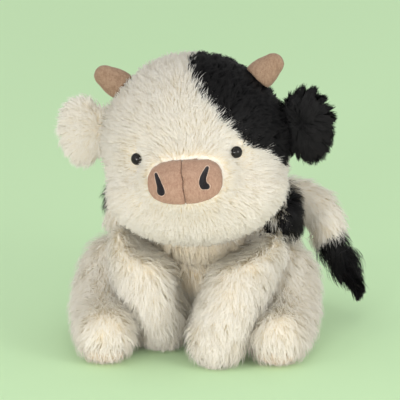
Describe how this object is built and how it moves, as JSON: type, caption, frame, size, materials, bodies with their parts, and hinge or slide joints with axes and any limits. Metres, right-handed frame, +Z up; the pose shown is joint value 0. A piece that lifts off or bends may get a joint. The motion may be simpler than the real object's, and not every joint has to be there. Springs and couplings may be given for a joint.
{
  "type": "plush cow",
  "caption": "Sitting plush cow in long white fur with black patches, tan velour nose and horns, flapping ears and a tufted tail.",
  "frame": {"origin": "middle of the flat seat under the body, on the surface that the cow sits on", "axes": "+Z up through the head, -Y is where the cow faces, +X is the cow's own left side"},
  "size_m": [0.2383, 0.2208, 0.2434],
  "materials": {
    "white_fur": "long silky pile",
    "black_fur": "long silky pile",
    "tan_velour": "short velour pile",
    "black_thread": "satin stitch",
    "eye_plastic": "polished",
    "washer_plastic": "moulded",
    "stuffing": "loose fibre",
    "bean_cloth": "plain weave"
  },
  "bodies": {
    "torso": {"body_skin": "white_fur", "back_patch": "black_fur", "body_stuffing": "stuffing", "bean_pouch": "bean_cloth"},
    "neck": {"neck_wad": "stuffing"},
    "head": {"eye_left": "eye_plastic", "eye_right": "eye_plastic", "eye_washer_left": "washer_plastic", "eye_washer_right": "washer_plastic", "head_patch": "black_fur", "head_skin": "white_fur", "head_stuffing": "stuffing", "horn_left": "tan_velour", "horn_right": "tan_velour", "horn_stuffing_left": "stuffing", "horn_stuffing_right": "stuffing", "nose_pad_left": "tan_velour", "nose_pad_right": "tan_velour", "nostril_left": "black_thread", "nostril_right": "black_thread"},
    "tail": {"tail_skin": "white_fur", "tail_stuffing": "stuffing"},
    "tuft": {"tail_tuft": "black_fur"},
    "ear_left": {"ear_front_left": "black_fur", "ear_back_left": "black_fur"},
    "foreleg_left": {"foreleg_left_skin": "white_fur", "foreleg_left_stuffing": "stuffing"},
    "hindleg_left": {"hindleg_left_skin": "white_fur", "hindleg_left_stuffing": "stuffing", "sole_left": "tan_velour"},
    "ear_right": {"ear_front_right": "white_fur", "ear_back_right": "white_fur"},
    "foreleg_right": {"foreleg_right_skin": "white_fur", "foreleg_right_stuffing": "stuffing"},
    "hindleg_right": {"hindleg_right_skin": "white_fur", "hindleg_right_stuffing": "stuffing", "sole_right": "tan_velour"}
  },
  "joints": [
    {"name": "neck_turn", "type": "hinge", "parent": "torso", "child": "neck", "pos_m": [0, -0.038, 0.104], "axis": [0, 0, 1], "range_deg": [-15, 15], "stiffness_Nm_per_rad": 0.8},
    {"name": "head_nod", "type": "hinge", "parent": "neck", "child": "head", "pos_m": [0, -0.038, 0.104], "axis": [1, 0, 0], "range_deg": [-8, 3], "stiffness_Nm_per_rad": 2.5},
    {"name": "ear_left_flap", "type": "hinge", "parent": "head", "child": "ear_left", "pos_m": [0.07184, -0.054, 0.18362], "axis": [-0.1045, 0, 0.9945], "range_deg": [-15, 15], "stiffness_Nm_per_rad": 0.02},
    {"name": "ear_right_flap", "type": "hinge", "parent": "head", "child": "ear_right", "pos_m": [-0.07519, -0.054, 0.17621], "axis": [-0.1045, 0, 0.9945], "range_deg": [-15, 15], "stiffness_Nm_per_rad": 0.02},
    {"name": "foreleg_left_swing", "type": "hinge", "parent": "torso", "child": "foreleg_left", "pos_m": [0.048, -0.054, 0.086], "axis": [-1, 0, 0], "range_deg": [0, 12], "stiffness_Nm_per_rad": 0.25},
    {"name": "foreleg_right_swing", "type": "hinge", "parent": "torso", "child": "foreleg_right", "pos_m": [-0.048, -0.054, 0.086], "axis": [-1, 0, 0], "range_deg": [0, 12], "stiffness_Nm_per_rad": 0.25},
    {"name": "hindleg_left_splay", "type": "hinge", "parent": "torso", "child": "hindleg_left", "pos_m": [0.0585, -0.02, 0.045], "axis": [0, 0, 1], "range_deg": [0, 30], "stiffness_Nm_per_rad": 0.2},
    {"name": "hindleg_right_splay", "type": "hinge", "parent": "torso", "child": "hindleg_right", "pos_m": [-0.0655, -0.02, 0.045], "axis": [0, 0, -1], "range_deg": [0, 30], "stiffness_Nm_per_rad": 0.2},
    {"name": "tail_swing", "type": "hinge", "parent": "torso", "child": "tail", "pos_m": [0.008, 0.04, 0.072], "axis": [0, 0, 1], "range_deg": [0, 50], "stiffness_Nm_per_rad": 0.08},
    {"name": "tuft_sway", "type": "hinge", "parent": "tail", "child": "tuft", "pos_m": [0.095, 0.04, 0.066], "axis": [0, 1, 0], "range_deg": [-10, 10], "stiffness_Nm_per_rad": 0.03}
  ]
}
